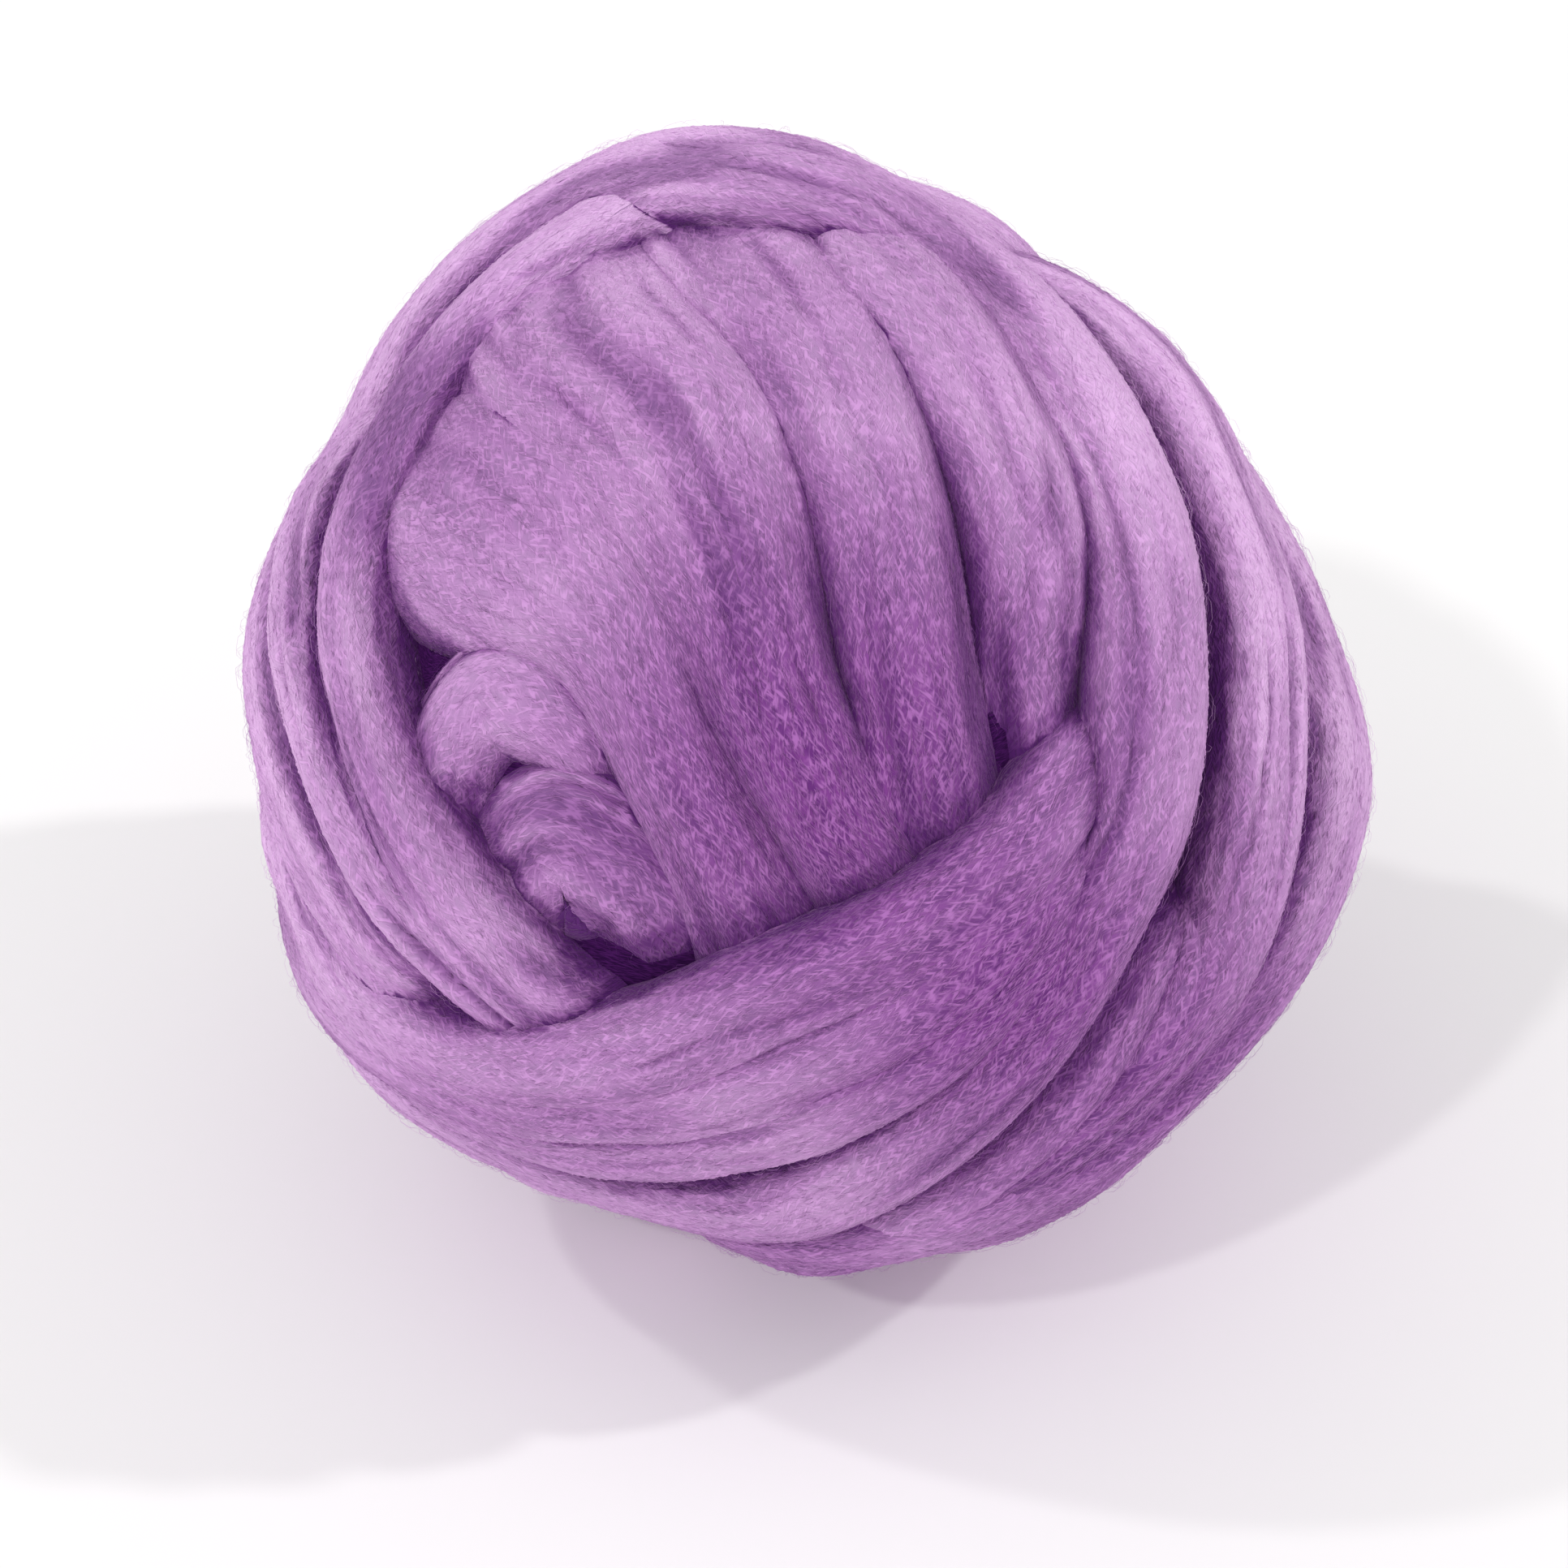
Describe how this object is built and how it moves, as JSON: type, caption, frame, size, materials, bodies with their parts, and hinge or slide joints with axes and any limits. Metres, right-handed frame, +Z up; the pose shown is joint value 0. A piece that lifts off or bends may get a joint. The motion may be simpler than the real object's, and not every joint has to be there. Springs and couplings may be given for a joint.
{
  "type": "ball of wool roving yarn",
  "caption": "Soft ball of thick combed wool roving, hand-wound in broad overlapping turns, standing on a small flat spot with its open face tipped up.",
  "frame": {"origin": "on the surface the ball stands on, under the middle of its outline", "axes": "+Z up; the open face looks towards -Y and leans back 35 degrees; +X to the right of it"},
  "size_m": [0.1478, 0.1498, 0.1485],
  "materials": {
    "wool": "matt, fuzzy combed wool dyed orchid purple, paler on the crests and deep purple in the gaps"
  },
  "bodies": {
    "root": {"ball": "wool"}
  },
  "joints": []
}
